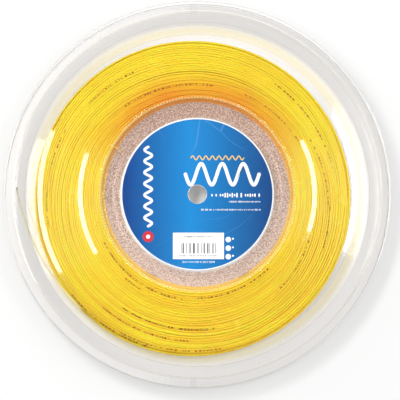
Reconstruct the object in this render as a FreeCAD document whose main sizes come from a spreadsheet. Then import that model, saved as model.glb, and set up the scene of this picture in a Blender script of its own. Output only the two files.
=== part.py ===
import FreeCAD, Part
import math
import os
import re
import Sketcher
from FreeCAD import Placement, Rotation, Vector

# A clear reel of racket string, lying flat with its axis along Z. The origin is on the axis, at the
# level that the rear rim rests on. Each half is drawn with the reel's middle plane at Z 0 and its own
# outer face upwards, and is then set in place. All sizes are in millimetres and degrees.

doc = FreeCAD.newDocument("string_reel")

# Driving sizes: name, value and what it is.
SIZES = [
    ("bore_radius", 6.35, "half of the half-inch spindle hole"),
    ("bore_chamfer", 0.4, "bevel at each mouth of the bore"),
    ("boss_wall", 2.3, "wall of the boss round the bore"),
    ("plastic_wall", 1.4, "thickness of the web and flanges"),
    ("drum_radius", 69.0, "radius that the string is wound on"),
    ("drum_wall", 2.4, "thickness of the drum wall"),
    ("flange_radius", 139.0, "outer radius of the flanges"),
    ("rim_bevel", 0.8, "bevel of the rim's outer edge"),
    ("web_rise", 7.6, "outer face of the web over the middle plane"),
    ("shoulder_run", 5.0, "width of the rise from the web over the drum wall"),
    ("shoulder_rise", 1.0, "height of that rise"),
    ("inner_step_start", 82.6, "start of the inner step of the flange"),
    ("inner_step_run", 3.6, "width of the inner step"),
    ("inner_step_rise", 1.0, "height of the inner step"),
    ("outer_step_inset", 27.7, "rim to the start of the outer step of the flange"),
    ("outer_step_run", 3.9, "width of the outer step"),
    ("outer_step_rise", 1.0, "height of the outer step"),
    ("slope_run", 8.7, "width of the broad slope that follows the outer step"),
    ("slope_rise", 1.4, "height of the broad slope"),
    ("lip_width", 7.2, "rim to the foot of the raised rim lip"),
    ("lip_run", 1.0, "width of the lip's flank"),
    ("lip_rise", 0.5, "height of the rim lip"),
    ("hook_count", 3, "snap hooks on each half"),
    ("hook_wall", 1.6, "thickness of a hook's stem"),
    ("hook_width", 8.0, "width of a hook"),
    ("hook_gap", 0.6, "gap between a hook's stem and the drum wall"),
    ("hook_reach", 3.2, "middle plane to the catching face of a hook"),
    ("hook_nose", 1.9, "height of a hook's slanted nose"),
    ("hook_catch", 1.9, "how far a hook stands out to its catch"),
    ("window_gap", 0.2, "clearance round a hook in its window"),
    ("rim_hole_radius", 1.15, "radius of the hole for the string's outer end"),
    ("rim_hole_gap", 0.45, "from that hole to the foot of the rim lip"),
    ("rim_hole_azimuth", 177.7, "direction of that hole"),
    ("start_hole_radius", 1.0, "radius of the drum hole for the string's start"),
    ("start_hole_height", 3.4, "middle plane to the drum hole"),
    ("start_hole_azimuth", 150.0, "direction of the drum hole"),
    ("label_radius", 54.8, "radius of the paper label"),
    ("label_hole_gap", 0.2, "clearance of the label round the bore's bevel"),
    ("label_thickness", 0.12, "thickness of the label"),
    ("string_radius", 0.675, "half of the string's diameter"),
    ("string_sides", 5, "sides of the string's section"),
    ("winding_gap", 0.3, "clearance between the winding and the plastic"),
    ("winding_radius", 113.7, "outer radius of the whole winding"),
    ("slack_left", 3.2, "how far the slack winding lies off centre to -X"),
    ("slack_down", 2.9, "how far the slack winding lies off centre to -Y"),
    ("turn_seat_gap", 0.05, "clearance between the outer turns and the core"),
    ("half_turns", 6, "half turns of the outer layer"),
    ("face_half_turns", 5, "half turns that stand proud on the front face of the winding"),
    ("face_relief", 1.0, "how far these turns stand over the packed face"),
    ("face_start_gap", 3.0, "drum to the first of these turns"),
    ("face_end_gap", 10.0, "outer turns to the last of these turns"),
    ("leave_azimuth", 225.0, "direction in which the string leaves the winding"),
    ("climb_bend", 2.2, "bend radius where the outer layer comes up"),
    ("climb_gap", 0.3, "clearance round the string where it comes up"),
    ("tail_first_run", 16.0, "first straight of the tail, in line with the last turn"),
    ("tail_stub", 0.4, "how far the outer end stands out of the rim hole"),
    ("tail_corner_height", 16.4, "height of the tail's last corner under the rim hole"),
    ("knot_radius", 1.7, "outer radius of the start knot"),
    ("knot_length", 2.6, "length of the start knot along the string"),
    ("start_stub", 2.5, "free end of string past the start knot"),
    ("start_seat_gap", 0.02, "clearance between the string's start and the winding"),
]

sheet = doc.addObject("Spreadsheet::Sheet", "Sizes")
for row, (alias, size, note) in enumerate(SIZES, start=1):
    sheet.set(f"A{row}", note)
    sheet.set(f"B{row}", str(size))
    sheet.setAlias(f"B{row}", alias)
doc.recompute()


def value(expression):
    """The present value of an expression in sheet names."""
    return float(sheet.evalExpression(expression))


ALIASES = {alias for alias, size, note in SIZES}


def named(text):
    """The same expression, with each sheet name written out in full."""
    return re.sub("[a-z_]+", lambda word: "Sizes." + word[0] if word[0] in ALIASES else word[0], text)


# Levels over the middle plane, used by the halves, the label and the winding.
WEB_TOP = "web_rise"
INNER_TOP = WEB_TOP + " + shoulder_rise"
MIDDLE_TOP = INNER_TOP + " + inner_step_rise"
OUTER_TOP = MIDDLE_TOP + " + outer_step_rise"
SLOPE_TOP = OUTER_TOP + " + slope_rise"
RIM_TOP = SLOPE_TOP + " + lip_rise"
WEB_UNDER = WEB_TOP + " - plastic_wall"
INNER_UNDER = INNER_TOP + " - plastic_wall"
MIDDLE_UNDER = MIDDLE_TOP + " - plastic_wall"
OUTER_UNDER = OUTER_TOP + " - plastic_wall"
RIM_UNDER = SLOPE_TOP + " - plastic_wall"

# Radii that more than one piece uses.
DRUM_BORE = "drum_radius - drum_wall"
HOOK_FACE = DRUM_BORE + " - hook_gap"
OUTER_STEP = "flange_radius - outer_step_inset"
SLOPE_START = OUTER_STEP + " + outer_step_run"
SLOPE_END = SLOPE_START + " + slope_run"
LIP_START = "flange_radius - lip_width"
RIM_HOLE = LIP_START + " - rim_hole_gap - rim_hole_radius"
LABEL_HOLE = "bore_radius + bore_chamfer + label_hole_gap"


def plane(body, role):
    """An origin plane or axis of a body."""
    return next(item for item in body.Origin.OriginFeatures if item.Role == role)


def bind_distance(sketch, kind, geometry, point, text):
    """Hold one coordinate of a sketch point at the distance that an expression gives."""
    distance = value(named(text))
    if abs(distance) < 1e-9:
        axis = -2 if kind == "DistanceX" else -1
        sketch.addConstraint(Sketcher.Constraint("PointOnObject", geometry, point, axis))
    elif distance > 0:
        number = sketch.addConstraint(Sketcher.Constraint(kind, -1, 1, geometry, point, distance))
        sketch.setExpression(f"Constraints[{number}]", named(text))
    else:
        number = sketch.addConstraint(Sketcher.Constraint(kind, geometry, point, -1, 1, -distance))
        sketch.setExpression(f"Constraints[{number}]", "-(" + named(text) + ")")


def outline_sketch(body, name, role, corners):
    """A closed outline of straight lines; each corner is a pair of expressions."""
    sketch = body.newObject("Sketcher::SketchObject", name)
    sketch.AttachmentSupport = (plane(body, role), [""])
    sketch.MapMode = "FlatFace"
    points = [Vector(value(named(across)), value(named(up)), 0) for across, up in corners]
    lines = [Part.LineSegment(points[i], points[(i + 1) % len(points)]) for i in range(len(points))]
    sketch.addGeometry(lines, False)
    for i in range(len(points)):
        sketch.addConstraint(Sketcher.Constraint("Coincident", i, 2, (i + 1) % len(points), 1))
    for i, (across, up) in enumerate(corners):
        bind_distance(sketch, "DistanceX", i, 1, across)
        bind_distance(sketch, "DistanceY", i, 1, up)
    return sketch


def circle_sketch(body, name, role, circles):
    """Circles, each given by centre expressions and a radius expression."""
    sketch = body.newObject("Sketcher::SketchObject", name)
    sketch.AttachmentSupport = (plane(body, role), [""])
    sketch.MapMode = "FlatFace"
    for i, (across, up, radius) in enumerate(circles):
        centre = Vector(value(named(across)), value(named(up)), 0)
        sketch.addGeometry(Part.Circle(centre, Vector(0, 0, 1), value(named(radius))), False)
        number = sketch.addConstraint(Sketcher.Constraint("Radius", i, value(named(radius))))
        sketch.setExpression(f"Constraints[{number}]", named(radius))
        bind_distance(sketch, "DistanceX", i, 3, across)
        bind_distance(sketch, "DistanceY", i, 3, up)
    return sketch


def turned(body, name, sketch):
    """A full revolution of a sketch round its upright axis."""
    feature = body.newObject("PartDesign::Revolution", name)
    feature.Profile = sketch
    feature.ReferenceAxis = (sketch, ["V_Axis"])
    feature.Angle = 360.0


def box_corners(left, right, low, high):
    """The four corners of an upright rectangle."""
    return [(left, low), (right, low), (right, high), (left, high)]


# The halves of the reel: one moulding, used twice. A half is a stepped disc of even wall with the web in
# its middle, half of the drum wall, half of the bore boss, and three hooks that snap into windows in
# the other half's drum wall. The drum walls and the bosses meet face to face at the middle plane.

def half_profile():
    """The section of a half, from the bore's foot round the outer face and back underneath."""
    boss = "bore_radius + boss_wall"
    outer_face = [
        ("bore_radius", "0"),
        ("bore_radius", WEB_TOP + " - bore_chamfer"),
        ("bore_radius + bore_chamfer", WEB_TOP),
        (DRUM_BORE, WEB_TOP),
        (DRUM_BORE + " + shoulder_run", INNER_TOP),
        ("inner_step_start", INNER_TOP),
        ("inner_step_start + inner_step_run", MIDDLE_TOP),
        (OUTER_STEP, MIDDLE_TOP),
        (SLOPE_START, OUTER_TOP),
        (SLOPE_END, SLOPE_TOP),
        (LIP_START, SLOPE_TOP),
        (LIP_START + " + lip_run", RIM_TOP),
        ("flange_radius - rim_bevel", RIM_TOP),
        ("flange_radius", RIM_TOP + " - rim_bevel"),
    ]
    under_face = [
        ("flange_radius", RIM_UNDER),
        (SLOPE_END, RIM_UNDER),
        (SLOPE_START, OUTER_UNDER),
        (OUTER_STEP, MIDDLE_UNDER),
        ("inner_step_start + inner_step_run", MIDDLE_UNDER),
        ("inner_step_start", INNER_UNDER),
        ("drum_radius", INNER_UNDER),
        ("drum_radius", "0"),
        (DRUM_BORE, "0"),
        (DRUM_BORE, WEB_UNDER),
        (boss, WEB_UNDER),
        (boss, "0"),
    ]
    return outer_face + under_face


def add_hooks(body):
    """Snap hooks from the web past the middle plane, and windows for the other half's hooks."""
    catch = "0 - hook_reach"
    tip = "0 - hook_reach - hook_nose"
    hook = outline_sketch(body, "HookSide", "XZ_Plane", [
        (HOOK_FACE + " - hook_wall", WEB_UNDER + " + plastic_wall / 2"),
        (HOOK_FACE + " - hook_wall", tip),
        (HOOK_FACE, tip),
        (HOOK_FACE + " + hook_catch", catch + " - hook_nose / 3"),
        (HOOK_FACE + " + hook_catch", catch),
        (HOOK_FACE, catch),
        (HOOK_FACE, WEB_UNDER + " + plastic_wall / 2"),
    ])
    pad = body.newObject("PartDesign::Pad", "Hook")
    pad.Profile = hook
    pad.SideType = "Symmetric"
    pad.setExpression("Length", "Sizes.hook_width")
    add_pattern(body, pad, "HookRing")

    window = outline_sketch(body, "WindowSide", "XZ_Plane", box_corners(
        "0 - drum_radius - window_gap", "0 - (" + HOOK_FACE + ")",
        "hook_reach - window_gap", "hook_reach + hook_nose + window_gap"))
    pocket = body.newObject("PartDesign::Pocket", "Window")
    pocket.Profile = window
    pocket.SideType = "Symmetric"
    pocket.setExpression("Length", "Sizes.hook_width + 2 * Sizes.window_gap")
    add_pattern(body, pocket, "WindowRing")


def add_pattern(body, feature, name):
    """Copies of a feature, evenly round the reel's axis."""
    pattern = body.newObject("PartDesign::PolarPattern", name)
    pattern.Originals = [feature]
    pattern.Axis = (plane(body, "Z_Axis"), [""])
    pattern.Angle = 360.0
    pattern.setExpression("Occurrences", "Sizes.hook_count")
    body.Tip = pattern


def make_half(label, turn):
    """One moulded half, turned to its side of the reel and set at the middle plane."""
    body = doc.addObject("PartDesign::Body", label)
    body.Label = label
    section = outline_sketch(body, "Section", "XZ_Plane", half_profile())
    turned(body, "Disc", section)
    add_hooks(body)

    rim_hole = circle_sketch(body, "RimHoleCircle", "XY_Plane", [(
        "(" + RIM_HOLE + ") * cos(rim_hole_azimuth)", "(" + RIM_HOLE + ") * sin(rim_hole_azimuth)",
        "rim_hole_radius")])
    pocket = body.newObject("PartDesign::Pocket", "RimHole")
    pocket.Profile = rim_hole
    pocket.SideType = "Symmetric"
    pocket.setExpression("Length", "2 * (" + named(RIM_TOP) + ") + 2 * Sizes.plastic_wall")

    drill = body.newObject("PartDesign::SubtractiveCylinder", "StartHole")
    drill.setExpression("Radius", "Sizes.start_hole_radius")
    drill.setExpression("Height", "2 * Sizes.drum_wall + 2 * Sizes.hook_gap")
    drill_foot = "(" + named(DRUM_BORE) + " - Sizes.hook_gap)"
    drill.setExpression("AttachmentOffset.Base.x", drill_foot + " * cos(Sizes.start_hole_azimuth)")
    drill.setExpression("AttachmentOffset.Base.y", drill_foot + " * sin(Sizes.start_hole_azimuth)")
    drill.setExpression("AttachmentOffset.Base.z", "Sizes.start_hole_height")
    drill.AttachmentOffset = Placement(Vector(), outward(sheet.start_hole_azimuth))
    drill.AttachmentSupport = (plane(body, "XY_Plane"), [""])
    drill.MapMode = "FlatFace"
    set_on_axis(body, RIM_TOP, turn)
    return body


def set_on_axis(body, height, turn):
    """Place a body on the reel's axis at the height that an expression gives."""
    body.Placement = Placement(Vector(), turn)
    body.setExpression("Placement.Base.z", named(height))


def outward(azimuth):
    """The turn that lays an upright axis level, pointing away from the reel's axis."""
    return Rotation(Vector(0, 0, 1), azimuth).multiply(Rotation(Vector(0, 1, 0), 90))


front_half = make_half("front_half", Rotation())
rear_half = make_half("rear_half", Rotation(Vector(0, 1, 0), 180))


# The label: a thin paper disc stuck on the front web, with a hole that clears the bore's bevel.

def make_label():
    """The printed disc."""
    body = doc.addObject("PartDesign::Body", "front_label")
    body.Label = "front_label"
    disc = circle_sketch(body, "LabelCircles", "XY_Plane", [
        ("0", "0", "label_radius"), ("0", "0", LABEL_HOLE)])
    pad = body.newObject("PartDesign::Pad", "Paper")
    pad.Profile = disc
    pad.setExpression("Length", "Sizes.label_thickness")
    set_on_axis(body, RIM_TOP + " + " + WEB_TOP, Rotation())
    return body


front_label = make_label()


# The packed winding: all layers under the outer one, packed flat at both sides. It is slack, so its
# outside lies off centre while its bore stays round the drum. On the front face some turns had no room
# beside their neighbours and ride over them, in one slow spiral.

WINDING_SIDE = INNER_UNDER + " - winding_gap"
CORE_RADIUS = "winding_radius - 2 * string_radius - turn_seat_gap"


def make_core():
    """The winding's disc with its proud turns, less the drum and the place where the outer layer comes up."""
    disc = doc.addObject("Part::Cylinder", "WindingDisc")
    disc.setExpression("Radius", named(CORE_RADIUS))
    disc.setExpression("Height", "2 * (" + named(WINDING_SIDE) + ") - Sizes.face_relief")
    disc.setExpression("Placement.Base.x", "-Sizes.slack_left")
    disc.setExpression("Placement.Base.y", "-Sizes.slack_down")
    disc.setExpression("Placement.Base.z", named(RIM_TOP) + " - (" + named(WINDING_SIDE) + ")")
    drum = doc.addObject("Part::Cylinder", "DrumRoom")
    drum.setExpression("Radius", "Sizes.drum_radius + Sizes.winding_gap")
    drum.setExpression("Height", "2 * (" + named(RIM_TOP) + ")")
    ring = doc.addObject("Part::Cut", "WindingRing")
    ring.Base = disc
    ring.Tool = drum
    packed = doc.addObject("Part::Cut", "PackedWinding")
    packed.Base = ring
    packed.Tool = climb_room()
    core = doc.addObject("Part::Fuse", "winding_core")
    core.Label = "winding_core"
    core.Base = packed
    core.Tool = make_face_turns()
    return core


# The outer layer: one unbroken string in a slow helix on the core. It comes up from the core in a
# short climb, and leaves it along its own line on the other side.

middle_height = value(named(RIM_TOP))
slack_centre = Vector(-sheet.slack_left, -sheet.slack_down, middle_height)
turn_radius = value(named("winding_radius - string_radius"))
turn_room = value(named(WINDING_SIDE + " - string_radius"))
half_turns = int(sheet.half_turns)
half_rise = 2 * turn_room / half_turns


def turn_place(half):
    """A point of the outer layer's centre line, counted in half turns from its start."""
    azimuth = math.radians(sheet.leave_azimuth + 180 * (half_turns - half))
    height = -turn_room + half_rise * half
    return slack_centre + Vector(turn_radius * math.cos(azimuth), turn_radius * math.sin(azimuth), height)


def turn_heading(half):
    """The direction of the string there. It winds clockwise and rises."""
    azimuth = math.radians(sheet.leave_azimuth + 180 * (half_turns - half))
    step = half_rise / (math.pi * turn_radius)
    return Vector(math.sin(azimuth), -math.cos(azimuth), step).normalize()


def arc_between(start, corner, end):
    """The arc that touches both legs of a corner, whose legs are equally long."""
    chord_middle = (start + end) / 2
    leg = start.distanceToPoint(corner)
    sag = corner.distanceToPoint(chord_middle)
    radius = leg * start.distanceToPoint(chord_middle) / sag
    inward = (chord_middle - corner) / sag
    centre = corner + inward * math.hypot(radius, leg)
    return Part.Arc(start, centre - inward * radius, end).toShape(), radius


def biarc(start, start_heading, end, end_heading):
    """Two arcs that join smoothly and keep the headings at both ends."""
    across = end - start
    both = start_heading + end_heading
    spread = 2 - 2 * start_heading.dot(end_heading)
    half = across.dot(both)
    leg = (math.sqrt(half * half + spread * across.dot(across)) - half) / spread
    first_corner = start + start_heading * leg
    second_corner = end - end_heading * leg
    joint = (first_corner + second_corner) / 2
    first, first_radius = arc_between(start, first_corner, joint)
    second, second_radius = arc_between(joint, second_corner, end)
    return [first, second], min(first_radius, second_radius)


def string_section(start, heading):
    """The string's section: an even polygon square to its path."""
    sides = int(sheet.string_sides)
    turn = Rotation(Vector(0, 0, 1), heading)
    corners = []
    for side in range(sides + 1):
        azimuth = 2 * math.pi * (side + 0.5) / sides
        spoke = Vector(math.cos(azimuth), math.sin(azimuth), 0) * sheet.string_radius
        corners.append(start + turn.multVec(spoke))
    return Part.makePolygon(corners)


def string_tube(edges, start, heading):
    """The string along a smooth path."""
    shell = Part.BRepOffsetAPI.MakePipeShell(Part.Wire(edges))
    shell.add(string_section(start, heading))
    shell.build()
    shell.makeSolid()
    return shell.shape()


def climb_path():
    """The short straight and the bend that bring the string up out of the core."""
    top = turn_place(0)
    heading = turn_heading(0)
    outward_way = (top - slack_centre)
    outward_way = Vector(outward_way.x, outward_way.y, 0).normalize()
    bend = sheet.climb_bend
    corner = top - heading * bend
    bend_foot = corner - outward_way * bend
    foot = bend_foot - outward_way * (2 * sheet.string_radius)
    arc, radius = arc_between(bend_foot, corner, top)
    return foot, outward_way, [Part.LineSegment(foot, bend_foot).toShape(), arc]


def least_turn_gap():
    """The least gap of the outer layer to itself, measured on points along it."""
    steps = 24
    places = [turn_place(i / steps) for i in range(half_turns * steps + 1)]
    nearest = min(places[i].distanceToPoint(places[j])
                  for i in range(len(places))
                  for j in range(i + steps, len(places)))
    return nearest - 2 * sheet.string_radius


def solid_node(label, shape):
    """A piece whose shape is set here, after which it gets its label and place."""
    feature = doc.addObject("Part::Feature", label)
    feature.Label = label
    feature.Shape = shape
    feature.Placement = Placement()
    return feature


def make_turns():
    """The outer layer, from where it comes up to where the tail takes over, and that last point."""
    foot, first_heading, edges = climb_path()
    tightest = sheet.climb_bend
    for half in range(half_turns):
        arcs, radius = biarc(turn_place(half), turn_heading(half),
                             turn_place(half + 1), turn_heading(half + 1))
        edges += arcs
        tightest = min(tightest, radius)
    leaving = turn_place(half_turns)
    last = leaving + turn_heading(half_turns) * (2 * sheet.string_radius)
    edges.append(Part.LineSegment(leaving, last).toShape())
    shape = string_tube(edges, foot, first_heading)
    length = sum(edge.Length for edge in edges)
    print(f"outer turns: length {length:.1f}, tightest bend {tightest:.2f}, "
          f"least gap to itself {least_turn_gap():.3f}")
    report_volume("outer turns", shape, length)
    return solid_node("outer_turns", shape), last


def report_volume(name, shape, length):
    """Compare a tube's volume with its section times its length."""
    sides = int(sheet.string_sides)
    section = sides / 2 * math.sin(2 * math.pi / sides) * sheet.string_radius ** 2
    print(f"{name}: volume {shape.Volume:.1f}, section times length {section * length:.1f}")


def climb_room():
    """The space to leave in the winding, round the place where the outer layer comes up."""
    foot, outward_way, edges = climb_path()
    side_room = sheet.string_radius + sheet.climb_gap
    box = doc.addObject("Part::Box", "ClimbRoom")
    box.setExpression("Length", "4 * Sizes.string_radius + 2 * Sizes.climb_bend")
    box.setExpression("Width", "2 * (Sizes.string_radius + Sizes.climb_gap) + Sizes.climb_bend")
    box.setExpression("Height", "2 * (Sizes.string_radius + Sizes.climb_gap)")
    turn = Rotation(Vector(1, 0, 0), outward_way)
    corner = foot + turn.multVec(Vector(0, -side_room - sheet.climb_bend, -side_room))
    box.Placement = Placement(corner, turn)
    return box


def face_joint(half):
    """Where two half turns of the proud string meet: on the line of the slack, on both sides by turns."""
    share = half / face_half_turns
    reach = face_start + (face_end - face_start) * share
    slack = slack_centre - Vector(0, 0, middle_height)
    side = slack.normalize() * (reach if half % 2 else -reach)
    return Vector(0, 0, face_level) + side + Vector(-sheet.slack_left, -sheet.slack_down, 0) * share


def proud_section(start, heading):
    """A proud turn's section, three-cornered to keep its faces few, with its foot in the packed face."""
    across = heading.cross(Vector(0, 0, 1))
    foot = Vector(0, 0, -sheet.face_relief - sheet.string_radius / 4)
    half_width = across * (face_width / 2)
    return Part.makePolygon([start, start + foot + half_width, start + foot - half_width, start])


def least_face_gap(edges):
    """The least gap of the proud turns to themselves, measured on points along them."""
    steps = 90
    places = [edge.valueAt(edge.FirstParameter + (edge.LastParameter - edge.FirstParameter) * i / steps)
              for edge in edges for i in range(steps + 1)]
    nearest = min(places[i].distanceToPoint(places[j])
                  for i in range(len(places))
                  for j in range(i + steps, len(places)))
    return nearest - face_width


def make_face_turns():
    """The turns that stand proud on the front face, clockwise outwards like the outer layer."""
    edges = []
    tightest = face_end
    for half in range(face_half_turns):
        start = face_joint(half)
        end = face_joint(half + 1)
        centre = (start + end) / 2
        left = Vector(0, 0, 1).cross(end - start) / 2
        edges.append(Part.Arc(start, centre + left, end).toShape())
        tightest = min(tightest, left.Length)
    heading = Vector(0, 0, 1).cross(face_joint(1) - face_joint(0)).normalize()
    shell = Part.BRepOffsetAPI.MakePipeShell(Part.Wire(edges))
    shell.add(proud_section(face_joint(0), heading))
    shell.build()
    shell.makeSolid()
    length = sum(edge.Length for edge in edges)
    print(f"proud turns: length {length:.1f}, tightest bend {tightest:.2f}, "
          f"least gap to themselves {least_face_gap(edges):.3f}")
    return solid_node("FaceTurns", shell.shape())


face_half_turns = int(sheet.face_half_turns)
face_width = 2.5 * sheet.string_radius
face_level = middle_height + value(named(WINDING_SIDE))
face_start = value(named("drum_radius + face_start_gap"))
face_end = value(named(CORE_RADIUS + " - face_end_gap"))
outer_turns, tail_start = make_turns()
winding_core = make_core()


# The string's outer end: it springs away from the winding, follows the slope of the flange and turns
# up through the hole near the rim. Its points are chosen by hand, apart from its two ends.

def tail_route():
    """Points of the tail, from the winding to its free end."""
    azimuth = math.radians(sheet.rim_hole_azimuth)
    hole_place = value(named(RIM_HOLE))
    hole_x = hole_place * math.cos(azimuth)
    hole_y = hole_place * math.sin(azimuth)
    return [
        tail_start,
        tail_start + turn_heading(half_turns) * sheet.tail_first_run,
        Vector(-108.9, -52.4, 18.4),
        Vector(-118.9, -33.0, 17.8),
        Vector(-125.4, -14.6, 17.1),
        Vector(-128.6, -3.6, 16.6),
        Vector(hole_x, hole_y, sheet.tail_corner_height),
        Vector(hole_x, hole_y, 2 * middle_height + sheet.tail_stub),
    ]


def tube_path(route):
    """Straight runs joined by tangent arcs, each as large as its two runs allow."""
    edges = []
    radii = []
    place = route[0]
    for before, corner, after in zip(route, route[1:], route[2:]):
        run_in = (corner - before).normalize()
        run_out = (after - corner).normalize()
        leg = 0.45 * min(corner.distanceToPoint(before), after.distanceToPoint(corner))
        arc, radius = arc_between(corner - run_in * leg, corner, corner + run_out * leg)
        edges.append(Part.LineSegment(place, corner - run_in * leg).toShape())
        edges.append(arc)
        radii.append(radius)
        place = corner + run_out * leg
    edges.append(Part.LineSegment(place, route[-1]).toShape())
    return edges, radii


def make_tail():
    """The string's outer end."""
    route = tail_route()
    edges, radii = tube_path(route)
    shape = string_tube(edges, route[0], route[1] - route[0])
    length = sum(edge.Length for edge in edges)
    print("tail bend radii:", " ".join(f"{radius:.1f}" for radius in radii))
    print(f"tail length {length:.1f}")
    report_volume("tail", shape, length)
    for point in route:
        print(f"tail point {point.x:.2f} {point.y:.2f} {point.z:.2f}")
    return solid_node("string_tail", shape)


string_tail = make_tail()


# The string's start: it goes inwards through a hole in the front half's drum wall, and its knot keeps
# it from being pulled out again. It is drawn upright and laid level, pointing outwards.

def start_profile():
    """The section of the start: free stub, knot, and the stem through the drum wall."""
    knot_top = DRUM_BORE + " - winding_gap"
    knot_foot = knot_top + " - knot_length"
    stem_end = "drum_radius + winding_gap - start_seat_gap"
    return [
        ("0", knot_foot + " - start_stub"),
        ("string_radius", knot_foot + " - start_stub"),
        ("string_radius", knot_foot),
        ("knot_radius", knot_foot),
        ("knot_radius", knot_top),
        ("string_radius", knot_top),
        ("string_radius", stem_end),
        ("0", stem_end),
    ]


def make_start():
    """The start of the string, from its free stub to the winding."""
    body = doc.addObject("PartDesign::Body", "string_start")
    body.Label = "string_start"
    section = outline_sketch(body, "StartSection", "XZ_Plane", start_profile())
    turned(body, "StartString", section)
    set_on_axis(body, RIM_TOP + " + start_hole_height", outward(sheet.start_hole_azimuth))
    return body


string_start = make_start()

NODES = [front_half, rear_half, front_label, winding_core, outer_turns, string_tail, string_start]

doc.recompute()
for item in doc.Objects:
    bad = [word for word in ("Invalid", "Error") if word in item.State]
    if bad:
        raise RuntimeError(f"{item.Label} is {bad}")

os.makedirs("parts", exist_ok=True)
for node in NODES:
    if node.Shape.isNull() or not node.Shape.isValid():
        raise RuntimeError(f"{node.Label} has no valid shape")
    if len(node.Shape.Solids) != 1:
        raise RuntimeError(f"{node.Label} is not one solid")
for node in NODES:
    node.Shape.exportStep(f"parts/{node.Label}.step")
    box = node.Shape.BoundBox
    print(f"{node.Label}: volume {node.Shape.Volume:.1f}, Z {box.ZMin:.2f} to {box.ZMax:.2f}")
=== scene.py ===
import math
import random

import bmesh
import bpy
from mathutils import Matrix, Vector


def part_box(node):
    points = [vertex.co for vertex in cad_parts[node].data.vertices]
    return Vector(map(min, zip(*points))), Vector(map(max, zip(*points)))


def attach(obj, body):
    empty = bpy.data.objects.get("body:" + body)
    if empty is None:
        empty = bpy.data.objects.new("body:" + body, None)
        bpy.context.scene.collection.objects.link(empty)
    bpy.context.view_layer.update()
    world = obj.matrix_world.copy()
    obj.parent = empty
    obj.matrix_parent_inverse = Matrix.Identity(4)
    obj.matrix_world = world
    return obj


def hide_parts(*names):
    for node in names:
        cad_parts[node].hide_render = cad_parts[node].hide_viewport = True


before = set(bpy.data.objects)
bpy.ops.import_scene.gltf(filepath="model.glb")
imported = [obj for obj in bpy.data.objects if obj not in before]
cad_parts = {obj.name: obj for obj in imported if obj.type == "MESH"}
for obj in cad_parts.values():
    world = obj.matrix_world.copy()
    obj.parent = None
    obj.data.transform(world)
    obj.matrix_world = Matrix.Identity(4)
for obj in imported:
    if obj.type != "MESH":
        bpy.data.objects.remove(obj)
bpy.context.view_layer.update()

MM = 0.001
FULL_TURN = 2 * math.pi
scene = bpy.context.scene

# Rear half of the reel: one injection moulding of clear polystyrene, lying face down. It is a disc of
# even wall in rising steps, with half of the drum wall and half of the boss round the spindle's bore.
# The hub's face is knurled in the mould, so it looks frosted. Hooks of the other half snap into it.
half_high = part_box("front_half")[1]
rim_radius = half_high.x
middle = half_high.z / 2
rim_rise = half_high.z - middle
wall = 1.4 * MM
bore_radius = 6.35 * MM
bore_bevel = 0.4 * MM
boss_radius = 8.65 * MM
drum_bore = 66.6 * MM
drum_radius = 69.0 * MM
wall_middle = 67.8 * MM
slope_rise = rim_rise - 0.5 * MM
outer_rise = slope_rise - 1.4 * MM
middle_rise = outer_rise - 1.0 * MM
inner_rise = middle_rise - 1.0 * MM
web_rise = inner_rise - 1.0 * MM
shoulder_end = drum_bore + 5.0 * MM
inner_step = (82.6 * MM, 86.2 * MM)
outer_step = (111.3 * MM, 115.2 * MM)
slope_start = outer_step[0] + 1.0 * MM
slope_end = 123.9 * MM
lip_start = 131.8 * MM
lip_slope = 1.0 * MM
rim_bevel = 0.8 * MM
round_edge = 0.22 * MM
meeting_gap = 0.01 * MM
close_by = 0.1 * MM
mould_steps = 384
knurl_lift = 0.22 * MM
knurl_pitch = 0.95 * MM
inner_knurl = [55.9 * MM + row * knurl_pitch for row in range(4)]
outer_knurl = [61.6 * MM + row * knurl_pitch for row in range(6)]
bead = (59.7 * MM, 60.3 * MM, 60.9 * MM)
bead_lift = 0.15 * MM
rib_rows = [drum_radius + 0.1 * MM, drum_radius + 1.0 * MM, drum_radius + 1.9 * MM]
rib_lift = 0.35 * MM
hook_width = 8.0 * MM
hook_rounding = 0.2 * MM
hook_turns = (0, 120, 240)
window_turns = (180, 300, 60)
window_low = (66.0 * MM, -4.2 * MM, 3.0 * MM)
window_high = (69.2 * MM, 4.2 * MM, 5.3 * MM)
rim_hole_turn = math.radians(177.7)
rim_hole_reach = 130.2 * MM
rim_hole_radius = 1.15 * MM
rim_cut_rise = 11 * MM
rim_cut_depth = 8 * MM
start_turn = math.radians(150)
start_rise = 3.4 * MM
start_hole_radius = 1.0 * MM
start_cut_depth = 5 * MM
clear_tint = (0.975, 0.967, 0.96, 1)
plastic_index = 1.55
knurl_chance = random.Random(5)


def shoulder_rise(radius):
    """Height of the shoulder between the hub and the flange."""
    return web_rise + (inner_rise - web_rise) * (radius - drum_bore) / (shoulder_end - drum_bore)


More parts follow.
